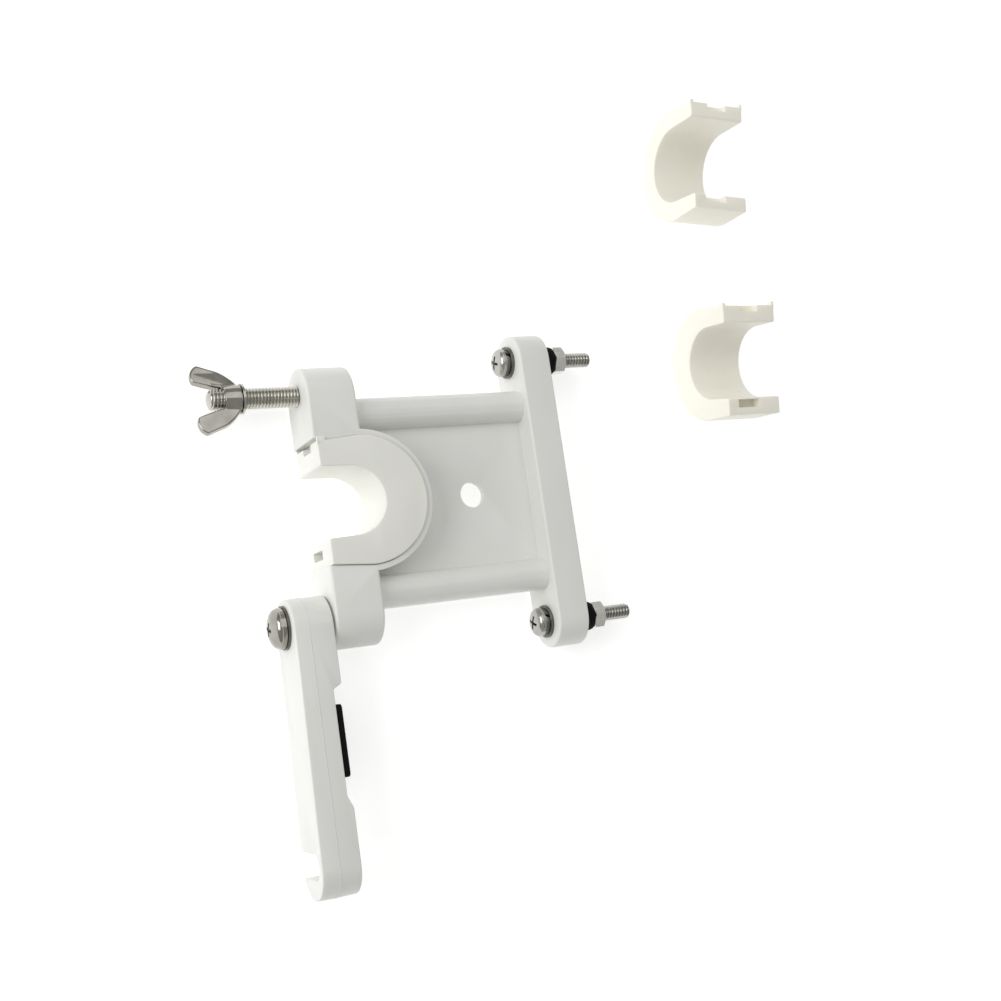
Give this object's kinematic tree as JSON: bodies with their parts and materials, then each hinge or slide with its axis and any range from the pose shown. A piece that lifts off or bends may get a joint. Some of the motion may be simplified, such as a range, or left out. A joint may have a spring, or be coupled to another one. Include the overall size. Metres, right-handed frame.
{
  "type": "pole clamp bracket",
  "caption": "White plastic pole clamp bracket with a swinging clamp arm held by a wing nut, exchangeable jaw inserts and a screw-on mounting flange.",
  "frame": {"origin": "axis of the clamped pole, at the middle of the bracket's depth", "axes": "+Z along the pole axis, out of the bracket's front; +X towards the mounting flange; +Y towards the wing nut's boss"},
  "size_m": [0.2439, 0.2978, 0.0441],
  "materials": {
    "white_plastic": "satin moulded white plastic",
    "ivory_plastic": "satin moulded ivory plastic",
    "stainless_steel": "polished stainless steel",
    "black_rubber": "matte black rubber",
    "nylon": "natural nylon",
    "brass": "plain brass"
  },
  "bodies": {
    "root": {"bracket_body": "white_plastic", "hinge_screw": "stainless_steel", "hinge_washer": "stainless_steel", "hinge_spacer": "nylon", "hinge_thread_insert": "brass", "wing_stud": "stainless_steel", "flange_screw_upper": "stainless_steel", "flange_flat_washer_upper": "stainless_steel", "flange_lock_washer_upper": "stainless_steel", "flange_nut_upper": "stainless_steel", "flange_bush_upper": "black_rubber", "flange_screw_lower": "stainless_steel", "flange_flat_washer_lower": "stainless_steel", "flange_lock_washer_lower": "stainless_steel", "flange_nut_lower": "stainless_steel", "flange_bush_lower": "black_rubber"},
    "arm": {"clamp_arm": "white_plastic", "arm_pad": "black_rubber"},
    "fitted_insert": {"jaw_insert": "ivory_plastic"},
    "medium_spare": {"spare_insert_medium": "ivory_plastic"},
    "large_spare": {"spare_insert_large": "ivory_plastic"},
    "wing_carrier": {"wing_washer": "stainless_steel"},
    "wing_nut": {"wing_nut": "stainless_steel"}
  },
  "joints": [
    {"name": "arm_swing", "type": "hinge", "parent": "root", "child": "arm", "pos_m": [-0.02, -0.0425, 0], "axis": [1, 0, 0], "range_deg": [0, 180]},
    {"name": "wing_travel", "type": "slide", "parent": "root", "child": "wing_carrier", "axis": [1, 0, 0], "range_m": [-0.00505, 0.0038]},
    {"name": "wing_spin", "type": "hinge", "parent": "wing_carrier", "child": "wing_nut", "pos_m": [-0.0331, 0.0425, 0], "axis": [1, 0, 0], "range_deg": [-1440, 1080]},
    {"name": "insert_removal", "type": "slide", "parent": "root", "child": "fitted_insert", "axis": [0, 0, 1], "range_m": [0, 0.03]},
    {"name": "medium_spare_lift", "type": "slide", "parent": "root", "child": "medium_spare", "axis": [0, 0, 1], "range_m": [0, 0.05]},
    {"name": "large_spare_lift", "type": "slide", "parent": "root", "child": "large_spare", "axis": [0, 0, 1], "range_m": [0, 0.05]}
  ],
  "couplings": [
    {"joint": "wing_travel", "follows": "wing_spin", "m_per_rad": 0.00019894}
  ]
}
